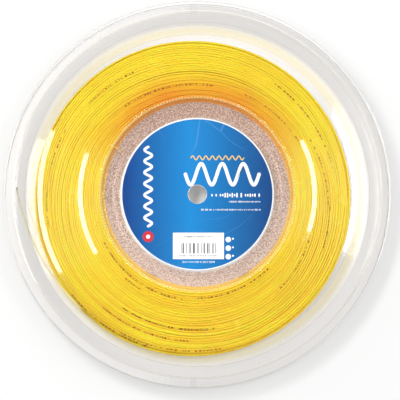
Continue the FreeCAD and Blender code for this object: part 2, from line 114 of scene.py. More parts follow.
half_section = [
    (bore_radius, meeting_gap),
    (bore_radius, web_rise - bore_bevel),
    (bore_radius + bore_bevel, web_rise),
    *[(row, web_rise) for row in inner_knurl],
    (bead[0], web_rise),
    (bead[1], web_rise + bead_lift),
    (bead[2], web_rise),
    *[(row, web_rise) for row in outer_knurl],
    (drum_bore, web_rise),
    *[(row, shoulder_rise(row)) for row in rib_rows],
    (shoulder_end, inner_rise),
    (inner_step[0], inner_rise),
    (inner_step[1], middle_rise),
    (outer_step[0], middle_rise),
    (outer_step[1], outer_rise),
    (slope_end, slope_rise),
    (lip_start, slope_rise),
    (lip_start + lip_slope, rim_rise),
    (rim_radius - rim_bevel, rim_rise),
    (rim_radius, rim_rise - rim_bevel),
    (rim_radius, slope_rise - wall),
    (slope_end, slope_rise - wall),
    (outer_step[1], outer_rise - wall),
    (outer_step[0], middle_rise - wall),
    (inner_step[1], middle_rise - wall),
    (inner_step[0], inner_rise - wall),
    (drum_radius, inner_rise - wall),
    (drum_radius, meeting_gap),
    (drum_bore, meeting_gap),
    (drum_bore, web_rise - wall),
    (boss_radius, web_rise - wall),
    (boss_radius, meeting_gap),
]
hook_section = [
    (64.4 * MM, 6.9 * MM),
    (66.0 * MM, 6.9 * MM),
    (66.0 * MM, -3.2 * MM),
    (67.9 * MM, -3.2 * MM),
    (67.9 * MM, -3.83 * MM),
    (66.0 * MM, -5.1 * MM),
    (64.4 * MM, -5.1 * MM),
]


def spun(section, steps):
    """A closed section spun once round the reel's axis."""
    work = bmesh.new()
    corners = [work.verts.new((radius, 0, height)) for radius, height in section]
    sides = [work.edges.new(pair) for pair in zip(corners, corners[1:] + corners[:1])]
    bmesh.ops.spin(work, geom=corners + sides, cent=(0, 0, 0), axis=(0, 0, 1),
                   angle=FULL_TURN, steps=steps, use_merge=True)
    bmesh.ops.remove_doubles(work, verts=work.verts, dist=0.001 * MM)
    bmesh.ops.recalc_face_normals(work, faces=work.faces)
    return work


def round_rings(work, width, least_turn):
    """Round off the ring edges at which the surface turns by more than an angle."""
    rings = []
    for edge in work.edges:
        first, second = edge.verts
        level = abs(first.co.z - second.co.z) < 1e-7
        same_radius = abs(first.co.xy.length - second.co.xy.length) < 1e-7
        if level and same_radius and edge.calc_face_angle(0) > least_turn:
            rings.append(edge)
    bmesh.ops.bevel(work, geom=rings, offset=width, offset_type="OFFSET", affect="EDGES",
                    segments=2, profile=0.5, material=-1, clamp_overlap=True)


def lift_pattern(work, rows, lift, staggered, unevenness):
    """Raise every other vertex of some rows of the hub's face, as a knurl or as radial ribs."""
    for vert in work.verts:
        if vert.co.z < web_rise - close_by:
            continue
        radius = vert.co.xy.length
        step = round(math.atan2(vert.co.y, vert.co.x) / FULL_TURN * mould_steps)
        for number, row in enumerate(rows):
            if abs(radius - row) < 0.01 * MM and (step + number * staggered) % 2 == 0:
                vert.co.z += lift * knurl_chance.uniform(1 - unevenness, 1 + unevenness)


def box_at(work, low, high, turn):
    """A box between two corners, turned about the reel's axis."""
    size = Vector(high) - Vector(low)
    place = Matrix.Rotation(math.radians(turn), 4, "Z") @ Matrix.Translation(
        (Vector(low) + Vector(high)) / 2) @ Matrix.Diagonal((*size, 1))
    return bmesh.ops.create_cube(work, size=1, matrix=place)["verts"]


def made_piece(name, work):
    """A smooth shaded mesh piece, riding on the reel."""
    mesh = bpy.data.meshes.new(name)
    work.to_mesh(mesh)
    work.free()
    mesh.shade_smooth()
    piece = bpy.data.objects.new(name, mesh)
    scene.collection.objects.link(piece)
    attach(piece, "root")
    return piece


def cut_openings(piece):
    """Cut the snap windows, the string's hole near the rim and its hole in the drum wall."""
    cutter_work = bmesh.new()
    for turn in window_turns:
        box_at(cutter_work, window_low, window_high, turn)
    rim_place = Matrix.Rotation(rim_hole_turn, 4, "Z") @ Matrix.Translation(
        (rim_hole_reach, 0, rim_cut_rise))
    bmesh.ops.create_cone(cutter_work, cap_ends=True, segments=32, radius1=rim_hole_radius,
                          radius2=rim_hole_radius, depth=rim_cut_depth, matrix=rim_place)
    start_place = Matrix.Rotation(start_turn, 4, "Z") @ Matrix.Translation(
        (wall_middle, 0, start_rise)) @ Matrix.Rotation(math.pi / 2, 4, "Y")
    bmesh.ops.create_cone(cutter_work, cap_ends=True, segments=24, radius1=start_hole_radius,
                          radius2=start_hole_radius, depth=start_cut_depth, matrix=start_place)
    cutter_mesh = bpy.data.meshes.new("openings")
    cutter_work.to_mesh(cutter_mesh)
    cutter_work.free()
    cutter = bpy.data.objects.new("openings", cutter_mesh)
    scene.collection.objects.link(cutter)
    cut = piece.modifiers.new("openings", "BOOLEAN")
    cut.object = cutter
    cut.solver = "EXACT"
    whole = piece.evaluated_get(bpy.context.evaluated_depsgraph_get())
    piece.data = bpy.data.meshes.new_from_object(whole)
    piece.modifiers.clear()
    bpy.data.objects.remove(cutter)


def add_hooks(work):
    """Three springy hooks with rounded edges, standing inside the drum wall."""
    for turn in hook_turns:
        hook = bmesh.new()
        corners = [hook.verts.new((radius, -hook_width / 2, height)) for radius, height in hook_section]
        side = hook.faces.new(corners)
        grown = bmesh.ops.extrude_face_region(hook, geom=[side])["geom"]
        moved = [part for part in grown if isinstance(part, bmesh.types.BMVert)]
        bmesh.ops.translate(hook, vec=(0, hook_width, 0), verts=moved)
        bmesh.ops.recalc_face_normals(hook, faces=hook.faces)
        bmesh.ops.bevel(hook, geom=hook.edges[:], offset=hook_rounding, affect="EDGES", segments=2,
                        profile=0.5, material=-1, clamp_overlap=True)
        bmesh.ops.rotate(hook, cent=(0, 0, 0), matrix=Matrix.Rotation(math.radians(turn), 3, "Z"),
                         verts=hook.verts)
        hook_mesh = bpy.data.meshes.new("hook")
        hook.to_mesh(hook_mesh)
        hook.free()
        work.from_mesh(hook_mesh)
        bpy.data.meshes.remove(hook_mesh)


def feed(tree, socket, given):
    """Give an input a value, or the output of another node."""
    if isinstance(given, bpy.types.NodeSocket):
        tree.links.new(given, socket)
    else:
        socket.default_value = given


def node_of(tree, kind, **settings):
    """A shader node with its settings, where a setting may name an input."""
    node = tree.nodes.new(kind)
    for name, setting in settings.items():
        label = name.replace("_", " ").title()
        if label in node.inputs:
            feed(tree, node.inputs[label], setting)
        else:
            setattr(node, name, setting)
    return node


def worked_out(tree, operation, *given, **settings):
    """The output of a Math node on one, two or three values."""
    node = node_of(tree, "ShaderNodeMath", operation=operation, **settings)
    for socket, value in zip(node.inputs, given):
        feed(tree, socket, value)
    return node.outputs["Value"]


def mapped(tree, given, start, end, **settings):
    """The output of a node that maps a value from the range start to end to another, 0 to 1 unless given."""
    node = node_of(tree, "ShaderNodeMapRange", value=given, from_min=start, from_max=end, **settings)
    return node.outputs["Result"]


def blended(tree, amount, first, second, **settings):
    """The colour output of a node that blends two colours."""
    node = node_of(tree, "ShaderNodeMix", data_type="RGBA", factor=amount, **settings)
    ends = [socket for socket in node.inputs if socket.type == "RGBA"]
    feed(tree, ends[0], first)
    feed(tree, ends[1], second)
    return next(socket for socket in node.outputs if socket.type == "RGBA")


def own_place(tree):
    """The output of a node that gives a spot's place on the reel."""
    return tree.nodes.new("ShaderNodeTexCoord").outputs["Object"]


def place_along(tree, axis):
    """The output of nodes that give a spot's place along one axis of the reel."""
    return node_of(tree, "ShaderNodeSeparateXYZ", vector=own_place(tree)).outputs[axis]


def distance_from_axis(tree):
    """The output of nodes that give a spot's distance from the reel's axis."""
    flat = node_of(tree, "ShaderNodeCombineXYZ", x=place_along(tree, "X"), y=place_along(tree, "Y"))
    reach = node_of(tree, "ShaderNodeVectorMath", operation="LENGTH", vector=flat.outputs["Vector"])
    return reach.outputs["Value"]


def noise_on(tree, place, **settings):
    """The noise output of a noise texture."""
    return node_of(tree, "ShaderNodeTexNoise", vector=place, **settings).outputs["Fac"]


def mixed_shaders(tree, amount, first, second):
    """A node that mixes the shaders of two other nodes."""
    mix = node_of(tree, "ShaderNodeMixShader", fac=amount)
    tree.links.new(first.outputs[0], mix.inputs[1])
    tree.links.new(second.outputs[0], mix.inputs[2])
    return mix


def blank_material(name):
    """A node material that holds only its output."""
    material = bpy.data.materials.new(name)
    material.use_nodes = True
    tree = material.node_tree
    tree.nodes.clear()
    return material, tree, tree.nodes.new("ShaderNodeOutputMaterial")


def make_handling_haze():
    """Faint haze and flow marks on anything handled or moulded, as a roughness and a height."""
    group = bpy.data.node_groups.new("handling_haze", "ShaderNodeTree")
    for name, start in (("Scale", 20.0), ("Smooth", 0.02), ("Rough", 0.10)):
        group.interface.new_socket(name, in_out="INPUT", socket_type="NodeSocketFloat").default_value = start
    for name in ("Roughness", "Height"):
        group.interface.new_socket(name, in_out="OUTPUT", socket_type="NodeSocketFloat")
    given = group.nodes.new("NodeGroupInput")
    cloud = noise_on(group, own_place(group), scale=given.outputs["Scale"], detail=4.0, roughness=0.6)
    spread = mapped(group, cloud, 0.35, 0.75, to_min=given.outputs["Smooth"], to_max=given.outputs["Rough"])
    node_of(group, "NodeGroupOutput", roughness=spread, height=cloud)
    return group


handling_haze = make_handling_haze()


def make_clear_plastic(name, tint=clear_tint, clear=1.0, smooth=0.015, rough=0.06, unevenness=0.10,
                       unbent=0.3, shade=0.98):
    """Clear polystyrene. Lamp light, and light from matt surfaces, passes straight through it."""
    material, tree, output = blank_material(name)
    haze = node_of(tree, "ShaderNodeGroup", node_tree=handling_haze, scale=22.0, smooth=smooth, rough=rough)
    bump = node_of(tree, "ShaderNodeBump", strength=unevenness, distance=0.0003,
                   height=haze.outputs["Height"])
    glass = node_of(tree, "ShaderNodeBsdfPrincipled", base_color=tint, transmission_weight=clear,
                    roughness=haze.outputs["Roughness"], normal=bump.outputs["Normal"])
    glass.inputs["IOR"].default_value = plastic_index
    film = node_of(tree, "ShaderNodeBsdfTransparent", color=(0.99, 0.985, 0.98, 1))
    lit_through = node_of(tree, "ShaderNodeBsdfTransparent", color=(shade, shade, shade, 1))
    rays = tree.nodes.new("ShaderNodeLightPath")
    either = worked_out(tree, "MAXIMUM", rays.outputs["Is Shadow Ray"], rays.outputs["Is Diffuse Ray"])
    softened = mixed_shaders(tree, unbent, glass, film)
    mix = mixed_shaders(tree, either, softened, lit_through)
    tree.links.new(mix.outputs["Shader"], output.inputs["Surface"])
    return material


def screen_colour(red, green, blue):
    """A colour given from 0 to 255 as a screen shows it, in the scene's own linear values."""
    def linear(value):
        value = value / 255
        return value / 12.92 if value <= 0.04045 else ((value + 0.055) / 1.055) ** 2.4
    return (linear(red), linear(green), linear(blue), 1)


def blend_tint(material, amount, first, second):
    """Blend a material's base colour between two tints by an output of one of its nodes."""
    tree = material.node_tree
    shader = next(node for node in tree.nodes if node.type == "BSDF_PRINCIPLED")
    tree.links.new(blended(tree, amount, first, second), shader.inputs["Base Color"])


polished_plastic = make_clear_plastic("polished_plastic")
rim_plastic = make_clear_plastic("rim_plastic", shade=0.70)
# Painted shade: the rounded edges of the steps and the lip are tinted a little greyer and warmer than the
# clear wall, for the light bent away at them.
edge_plastic = make_clear_plastic("edge_plastic", screen_colour(238, 233, 224), unbent=0.2, shade=0.80)
# Painted highlight: every other rib on the shoulder is tinted cream, for the glints on the ribs over the
# string.
rib_plastic = make_clear_plastic("rib_plastic", screen_colour(255, 234, 176), clear=0.5, smooth=0.10,
                                 rough=0.20, unevenness=0.2, unbent=0.1)

# The knurl breaks up the light into light and dark grains, here painted into the colour as painted glints
# and shade. The pink-taupe tint is painted light, for the string's light bounced into the hub and the shaded
# floor under it, and painted shade makes it darker towards the top of the label, paler towards the bottom.
knurled_plastic = make_clear_plastic("knurled_plastic", screen_colour(240, 212, 196), clear=0.55,
                                     smooth=0.16, rough=0.30, unevenness=0.3, unbent=0)
knurled_tree = knurled_plastic.node_tree
knurled_noise = noise_on(knurled_tree, own_place(knurled_tree), scale=1000.0, detail=1.0)
painted_glint_grain = mapped(knurled_tree, knurled_noise, 0.36, 0.64)
painted_shade_lean = mapped(knurled_tree, place_along(knurled_tree, "Y"), 70 * MM, -70 * MM,
                      to_min=-0.3, to_max=0.2)
blend_tint(knurled_plastic, worked_out(knurled_tree, "ADD", painted_glint_grain, painted_shade_lean, use_clamp=True),
           screen_colour(174, 138, 120), screen_colour(244, 222, 208))

# Painted glow: the drum wall is tinted with the string's colour, for the string's light caught in the clear
# wall, and painted shade makes it more amber towards the top of the label.
drum_plastic = make_clear_plastic("drum_plastic", clear=0.75, smooth=0.05, rough=0.15, unevenness=0.2,
                                  unbent=0.2)
blend_tint(drum_plastic,
           mapped(drum_plastic.node_tree, place_along(drum_plastic.node_tree, "Y"), -10 * MM, 66 * MM),
           screen_colour(255, 218, 132), screen_colour(246, 176, 96))

# Painted reflection: the slope outside the winding has a cream band, for the string's colour reflected and
# bent through the clear slope.
cream_ring = 118.5 * MM
slope_plastic = make_clear_plastic("slope_plastic", shade=0.94)
slope_tree = slope_plastic.node_tree
slope_offset = worked_out(slope_tree, "SUBTRACT", distance_from_axis(slope_tree), cream_ring)
painted_reflection_band = mapped(slope_tree, worked_out(slope_tree, "ABSOLUTE", slope_offset), 1.2 * MM, 4.5 * MM)
blend_tint(slope_plastic, painted_reflection_band, screen_colour(252, 246, 225), clear_tint)
half_plastics = [polished_plastic, knurled_plastic, drum_plastic, rim_plastic, slope_plastic, rib_plastic,
                 edge_plastic]


def plastic_at(spot):
    """Which of the half's finishes a spot of it has."""
    radius = spot.xy.length
    height = spot.z
    step = math.atan2(spot.y, spot.x) / FULL_TURN * mould_steps
    if rib_rows[0] < radius < rib_rows[-1] and height > web_rise and int(step + mould_steps) % 2:
        return half_plastics.index(rib_plastic)
    if inner_knurl[0] < radius < outer_knurl[-1] and height > web_rise - close_by / 2:
        return half_plastics.index(knurled_plastic)
    if drum_bore - close_by < radius < drum_radius + close_by:
        return half_plastics.index(drum_plastic)
    if min(abs(radius - edge) for edge in (outer_step[1], slope_end)) < round_edge:
        return half_plastics.index(edge_plastic)
    if lip_start - round_edge < radius < lip_start + lip_slope + round_edge:
        return half_plastics.index(edge_plastic)
    if radius > slope_end:
        return half_plastics.index(rim_plastic)
    if radius > slope_start:
        return half_plastics.index(slope_plastic)
    return half_plastics.index(polished_plastic)


def moulded_half(name, turn):
    """One half of the reel, with its openings cut and its hooks added."""
    work = spun(half_section, mould_steps)
    round_rings(work, width=round_edge, least_turn=math.radians(4))
    lift_pattern(work, inner_knurl, knurl_lift, staggered=1, unevenness=0.6)
    lift_pattern(work, outer_knurl, knurl_lift, staggered=1, unevenness=0.6)
    lift_pattern(work, rib_rows, rib_lift, staggered=0, unevenness=0.1)
    for face in work.faces:
        face.material_index = plastic_at(face.calc_center_median())
    piece = made_piece(name, work)
    for plastic in half_plastics:
        piece.data.materials.append(plastic)
    cut_openings(piece)
    finished = bmesh.new()
    finished.from_mesh(piece.data)
    add_hooks(finished)
    bmesh.ops.transform(finished, matrix=Matrix.Translation((0, 0, middle)) @ turn, verts=finished.verts)
    for face in finished.faces:
        reach = face.calc_center_median().xy.length
        face.smooth = not inner_knurl[0] < reach < shoulder_end
    finished.to_mesh(piece.data)
    finished.free()
    weighted = piece.modifiers.new("even_shading", "WEIGHTED_NORMAL")
    weighted.mode = "FACE_AREA"
    weighted.keep_sharp = True
    return piece


rear_moulding = moulded_half("rear_moulding", Matrix.Rotation(math.pi, 4, "Y"))
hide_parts("rear_half")

# Start of the string: one length of yellow nylon string, about 200 m long. Its first end goes through
# a small hole in the drum wall and is stopped inside by a barrel knot.
string_radius = 0.675 * MM
start_height = middle + start_rise
knot_wraps = 2
knot_radius = 1.02 * MM
string_colour = screen_colour(255, 229, 50)
deep_colour = screen_colour(240, 142, 30)


def make_string_nylon(name, pale, deep, deepening):
    """Smooth glossy nylon in faint bands, stronger towards the bottom, with painted shade that makes it more
    amber where it lies tight against the drum at the top.
    """
    material, tree, output = blank_material(name)
    reach = distance_from_axis(tree)
    along = place_along(tree, "Y")
    haze = node_of(tree, "ShaderNodeGroup", node_tree=handling_haze, scale=30.0, smooth=0.16, rough=0.30)
    near_drum = mapped(tree, reach, 94 * MM, 70 * MM, interpolation_type="SMOOTHSTEP")
    at_top = mapped(tree, along, 8 * MM, 72 * MM, interpolation_type="SMOOTHSTEP")
    painted_amber_shade = worked_out(tree, "MULTIPLY", near_drum, at_top)
    cloud = noise_on(tree, own_place(tree), scale=35.0, detail=3.0)
    uneven = mapped(tree, cloud, 0.3, 0.7, to_max=0.16)
    bands = node_of(tree, "ShaderNodeTexNoise", noise_dimensions="1D", w=reach, scale=260.0, detail=2.0)
    banding = mapped(tree, bands.outputs["Fac"], 0.38, 0.66, to_max=0.25)
    low_side = mapped(tree, along, 60 * MM, -60 * MM, to_min=0.1)
    low_bands = worked_out(tree, "MULTIPLY_ADD", banding, low_side, uneven)
    total = worked_out(tree, "MULTIPLY_ADD", painted_amber_shade, deepening, low_bands, use_clamp=True)
    nylon = node_of(tree, "ShaderNodeBsdfPrincipled", base_color=blended(tree, total, pale, deep),
                    roughness=haze.outputs["Roughness"], subsurface_weight=0.5,
                    subsurface_radius=(1.0, 0.6, 0.2), subsurface_scale=1.2 * MM)
    nylon.inputs["IOR"].default_value = 1.53
    tree.links.new(nylon.outputs["BSDF"], output.inputs["Surface"])
    return material


string_nylon = make_string_nylon("string_nylon", string_colour, deep_colour, 0.75)


def string_piece(name, lines, nylon, kind="POLY", roundness=2):
    """String along one or more lines of points, as a curve piece with the string's thickness."""
    curve = bpy.data.curves.new(name, "CURVE")
    curve.dimensions = "3D"
    for line in lines:
        spline = curve.splines.new(kind)
        spline.points.add(len(line) - 1)
        for point, spot in zip(spline.points, line):
            point.co = (*spot, 1)
        spline.use_smooth = True
        if kind == "NURBS":
            spline.order_u = 3
            spline.use_endpoint_u = True
            spline.resolution_u = 12
    curve.bevel_depth = string_radius
    curve.bevel_resolution = roundness
    curve.use_fill_caps = True
    curve.materials.append(nylon)
    piece = bpy.data.objects.new(name, curve)
    scene.collection.objects.link(piece)
    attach(piece, "root")
    return piece


def start_spot(reach, side, up):
    """A point near the string's start, given along, across and above its hole."""
    along = Vector((math.cos(start_turn), math.sin(start_turn), 0))
    across = Vector((-math.sin(start_turn), math.cos(start_turn), 0))
    return along * reach + across * side + Vector((0, 0, start_height + up))


start_line = [start_spot(69.5 * MM, 0, 0), start_spot(67.5 * MM, 0, 0), start_spot(66.4 * MM, 0, 0.2 * MM)]
for wrap in range(knot_wraps * 6 + 1):
    wrap_angle = FULL_TURN * wrap / 6
    start_line.append(start_spot((65.6 - 1.2 * wrap / (knot_wraps * 6)) * MM,
                                 knot_radius * math.sin(wrap_angle), knot_radius * math.cos(wrap_angle)))
start_line.append(start_spot(63.2 * MM, 0, 0.2 * MM))
start_line.append(start_spot(61.3 * MM, 0, 0))
string_start = string_piece("knotted_start", [start_line], string_nylon, "NURBS")
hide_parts("string_start")

# Winding: the string laid on the drum turn by turn between the flanges. The faces show one turn of each
# layer. It starts round on the drum and slackens outwards, so it lies a little to the lower left, and
# where turns have no room side by side they ride over each other.
core_low, core_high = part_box("winding_core")
winding_centre = (core_low + core_high) / 2
winding_outer = (core_high.x - core_low.x) / 2
face_turns = 36
turn_points = 96
drum_gap = 0.35 * MM
outer_overlap = 0.06 * MM
slack_shift = 6.5 * MM
slack_way = math.radians(262)
wave_height = 0.9 * MM
bunch_shift = 0.30 * MM
turns_in_bunch = 4.6
layer_below = 0.9 * MM
deepest_fall = 1.3 * MM
first_turn = drum_radius + string_radius + drum_gap
last_turn = winding_outer - string_radius + outer_overlap


def turn_spot(turn, angle):
    """Where a turn of the winding's face runs, with turns counted outwards from the drum."""
    out = turn / face_turns
    loose = max(0, math.sin(math.pi * out))
    slack = slack_shift * loose ** 1.2
    wave = wave_height * loose * (
        0.5 * math.sin(2 * angle + 4 * out) + 0.3 * math.sin(3 * angle - 6 * out + 1)
        + 0.2 * math.sin(5 * angle + 9 * out + 2))
    bunching = bunch_shift * math.sin(FULL_TURN * turn / turns_in_bunch + 1.2 * math.sin(angle + 2 * out))
    radius = first_turn + (last_turn - first_turn) * out + wave + bunching * min(1, 8 * (1 - out), 8 * out)
    across = winding_centre.x * out + slack * math.cos(slack_way) + radius * math.cos(angle)
    along = winding_centre.y * out + slack * math.sin(slack_way) + radius * math.sin(angle)
    return Vector((across, along, 0))


def face_line(side, depth, nested, seed):
    """One layer of string on a face of the winding. Tight turns lie over and under each other."""
    dice = random.Random(seed)
    crossings = [dice.uniform(-0.6, 0.6) for turn in range(face_turns + 1)]
    sags = [dice.uniform(0, FULL_TURN) for turn in range(face_turns + 1)]
    depths = [dice.choice((0, 0, 0, 0.05, 0.1, 0.8)) * MM for turn in range(face_turns - 1)] + [0, 0]
    line = []
    for number in range(int((face_turns - nested) * turn_points) + 1):
        turn = number / turn_points
        whole = min(int(turn), face_turns)
        angle = FULL_TURN * turn
        room = (turn_spot(turn + 0.5, angle) - turn_spot(turn - 0.5, angle)).length
        tuck = math.sqrt(max(0, (2 * string_radius) ** 2 - room ** 2))
        ease = (turn - whole) * FULL_TURN - crossings[whole]
        blend = min(1, max(0, 0.5 + ease / 0.5))
        lower = blend if whole % 2 else 1 - blend
        calm = min(1, 5 * abs(math.sin(math.pi * turn)))
        sag = depths[whole] * calm * max(0, math.sin(angle + sags[whole])) ** 2
        fall = depth + min(deepest_fall, tuck * lower + sag)
        level = core_high.z - string_radius - fall
        if side < 0:
            level = core_low.z + string_radius + fall
        spot = turn_spot(turn + nested, angle)
        line.append((spot.x, spot.y, level))
    return line


front_turns = string_piece(
    "front_turns", [face_line(1, 0, 0, 3), face_line(1, layer_below, 0.5, 5)], string_nylon)
rear_turns = string_piece(
    "rear_turns", [face_line(-1, 0, 0, 4), face_line(-1, layer_below, 0.5, 6)], string_nylon)
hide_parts("winding_core")
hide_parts("winding_core")

bulk_margin = 2.2 * MM
bulk_section = [
    (first_turn - string_radius, core_low.z + bulk_margin),
    (first_turn - string_radius, core_high.z - bulk_margin),
    (winding_outer, core_high.z - bulk_margin),
    (winding_outer, core_low.z + bulk_margin),
]
bulk_work = spun(bulk_section, 128)
outer_verts = [vert for vert in bulk_work.verts if vert.co.xy.length > (first_turn + last_turn) / 2]
bmesh.ops.translate(bulk_work, vec=(winding_centre.x, winding_centre.y, 0), verts=outer_verts)
winding_bulk = made_piece("winding_bulk", bulk_work)
winding_bulk.data.materials.append(string_nylon)
winding_bulk.modifiers.new("even_shading", "WEIGHTED_NORMAL")
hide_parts("winding_core")

# Outer layer of the winding: the last ten turns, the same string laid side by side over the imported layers.
# They go from the rear flange to the front one, each climbing by its own thickness in a short stretch,
# and only the string's tension holds them.
layer_gap = 0.05 * MM
layer_reach = 6.225 * MM
layer_radius = winding_outer + string_radius + layer_gap
layer_low = middle - layer_reach
layer_high = middle + layer_reach
layer_climbs = 9
layer_points = 120
climb_share = 0.12
layer_end = math.radians(225)
layer_line = []
for number in range((layer_climbs + 1) * layer_points + 1):
    turn = number / layer_points
    climb = max(0, 1 - (1 - turn % 1) / climb_share)
    climbed = min(layer_climbs, int(turn) + climb * climb * (3 - 2 * climb))
    level = layer_low + (layer_high - layer_low) * climbed / layer_climbs
    angle = layer_end + (layer_climbs + 1 - turn) * FULL_TURN
    layer_line.append((winding_centre.x + layer_radius * math.cos(angle),
                       winding_centre.y + layer_radius * math.sin(angle), level))
outer_layer = string_piece("outer_layer", [layer_line], string_nylon)
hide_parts("outer_turns")

# Printing on the string: dark ink rolled onto the nylon before it was wound, so it shows in short runs
# wherever the inked side faces up. Here it is plain dashes, with no lettering.
ink_runs = [
    (30, 66, 80.6), (82, 125, 80.1), (207, 262, 75.8), (271, 315, 74.0), (229, 240, 80.5),
    (316, 360, 88.0), (0, 29, 92.3), (14, 56, 97.7), (342, 360, 96.6), (115, 137, 100.2),
    (151, 190, 107.4), (236, 280, 98.1), (229, 270, 106.0), (219, 254, 117.0), (242, 281, 113.5),
]
ink_width = 1.1 * MM
ink_depth = 0.12 * MM
ink_sink = 0.02 * MM
ink_work = bmesh.new()
ink_chance = random.Random(21)
for start, end, reach in ink_runs:
    centre_angle = math.radians((start + end) / 2)
    nearest = min(range(1, face_turns), key=lambda turn: abs(
        turn_spot(turn + centre_angle / FULL_TURN, centre_angle).length - reach * MM))
    angle = math.radians(start)
    while angle < math.radians(end):
        dash = ink_chance.choice((0.6, 0.8, 1.2, 1.6)) * MM
        width = ink_width * ink_chance.uniform(0.6, 1)
        spot = turn_spot(nearest + angle / FULL_TURN, angle)
        ahead = turn_spot(nearest + angle / FULL_TURN, angle + 0.01) - spot
        place = Matrix.Translation((spot.x, spot.y, core_high.z - ink_sink)) @ Matrix.Rotation(
            math.atan2(ahead.y, ahead.x), 4, "Z") @ Matrix.Diagonal((dash, width, ink_depth, 1))
        bmesh.ops.create_cube(ink_work, size=1, matrix=place)
        gap = ink_chance.choice((1.0, 1.2, 1.4, 1.8, 4.0)) * MM
        angle += (dash + gap) / spot.length
string_print = made_piece("string_print", ink_work)


def plain_finish(name, colour, smooth, rough):
    """An opaque finish of one colour, with faint haze from handling."""
    material, tree, output = blank_material(name)
    haze = node_of(tree, "ShaderNodeGroup", node_tree=handling_haze, smooth=smooth, rough=rough)
    finish = node_of(tree, "ShaderNodeBsdfPrincipled", base_color=colour,
                     roughness=haze.outputs["Roughness"])
    tree.links.new(finish.outputs["BSDF"], output.inputs["Surface"])
    return material


string_print.data.materials.append(
    plain_finish("string_ink", screen_colour(160, 66, 4), smooth=0.3, rough=0.5))

# Outer end of the string: it springs away from the winding, follows the underside of the front flange
# to the small hole near the rim and stands a little out of it, so that it can't unwind by itself.
tail_points = [
    (-84.08, -81.87, 18.73),
    (-95.39, -70.55, 18.83),
    (-108.90, -52.40, 18.40),
    (-118.90, -33.00, 17.80),
    (-125.40, -14.60, 17.10),
    (-128.60, -3.60, 16.60),
    (-130.10, 5.23, 16.40),
    (-130.10, 5.23, 25.40),
]
tail_line = [(across * MM, along * MM, up * MM) for across, along, up in tail_points]
# Painted sheen: the tail's nylon is made pale, near white, for the sheen along it.
painted_sheen_tail_nylon = make_string_nylon("painted_sheen_tail_nylon", screen_colour(255, 250, 225), string_colour, 0.1)
string_end = string_piece("string_end", [tail_line], painted_sheen_tail_nylon, "NURBS", 4)
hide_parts("string_tail")

# Front half of the reel: the same moulding in clear polystyrene as the rear one, the other way up. It is
# put on last, once the string's start is knotted, and its hooks snap into the rear half's windows.
front_moulding = moulded_half("front_moulding", Matrix.Identity(4))
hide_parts("front_half")

# Scuffs: small scratches across the front rim from handling. The broken surface of the plastic is matt
# there, and a little paler than the clear wall round it.
scuff_width = 0.12 * MM
scuff_lift = 0.02 * MM
scuff_work = bmesh.new()
rim_top = middle + slope_rise
for turn, start, end in ((145.7, 124.4, 129.0), (290.0, 127.4, 130.2), (62.0, 126.0, 127.6)):
    box_at(scuff_work, (start * MM, -scuff_width, rim_top - scuff_lift / 2),
           (end * MM, scuff_width, rim_top + scuff_lift), turn)
rim_scuffs = made_piece("rim_scuffs", scuff_work)
rim_scuffs.data.materials.append(
    plain_finish("scuffed_plastic", screen_colour(214, 212, 206), smooth=0.4, rough=0.7))

# Label: a disc of coated paper with a hole for the spindle, stuck on the middle of the front web. It is
# printed in a blue gradient with faint pale lines, brightest left of the middle. Its cut edge stays white.
label_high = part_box("front_label")[1]
label_radius = label_high.x
label_top = label_high.z
paper_edge = 0.7 * MM
edge_blur = 0.1 * MM
paper_white = screen_colour(250, 250, 250)
label, label_tree, label_output = blank_material("printed_paper")
label_place = own_place(label_tree)
label_across = mapped(label_tree, place_along(label_tree, "X"), -label_radius, label_radius)
label_ramp = node_of(label_tree, "ShaderNodeValToRGB", fac=label_across)
ramp = label_ramp.color_ramp
ramp.interpolation = "LINEAR"
ramp.elements[0].position = 0.0
ramp.elements[0].color = screen_colour(8, 58, 132)
ramp.elements[1].position = 1.0
ramp.elements[1].color = screen_colour(12, 63, 125)
ramp.elements.new(0.455).color = screen_colour(25, 134, 204)
label_sway = node_of(label_tree, "ShaderNodeTexNoise", vector=label_place, scale=9.0, detail=1.0)
label_bend = blended(label_tree, 0.16, label_place, label_sway.outputs["Color"], blend_type="ADD")
label_streaks = node_of(label_tree, "ShaderNodeTexVoronoi", feature="DISTANCE_TO_EDGE", vector=label_bend,
                        scale=22.0)
label_line = mapped(label_tree, label_streaks.outputs["Distance"], 0.012, 0.0, to_max=0.30)
label_shown = mapped(label_tree, noise_on(label_tree, label_place, scale=16.0, detail=1.0), 0.5, 0.62)
label_swept = blended(label_tree, worked_out(label_tree, "MULTIPLY", label_line, label_shown),
                      label_ramp.outputs["Color"], screen_colour(120, 176, 238))
label_bare = mapped(label_tree, distance_from_axis(label_tree), label_radius - paper_edge - edge_blur,
                    label_radius - paper_edge + edge_blur)
label_haze = node_of(label_tree, "ShaderNodeGroup", node_tree=handling_haze, scale=60.0, smooth=0.35,
                     rough=0.55)
label_paper = node_of(label_tree, "ShaderNodeBsdfPrincipled", roughness=label_haze.outputs["Roughness"],
                      base_color=blended(label_tree, label_bare, label_swept, paper_white))
label_paper.inputs["Specular IOR Level"].default_value = 0.25
label_tree.links.new(label_paper.outputs["BSDF"], label_output.inputs["Surface"])
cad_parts["front_label"].material_slots[0].material = label

# Printing on the label: two waves, a ripple, dots and dashes in thin layers of ink, and a white patch with
# plain dark bars. None of it is lettering.
ink_layer = 0.02 * MM
ink_bite = 0.005 * MM


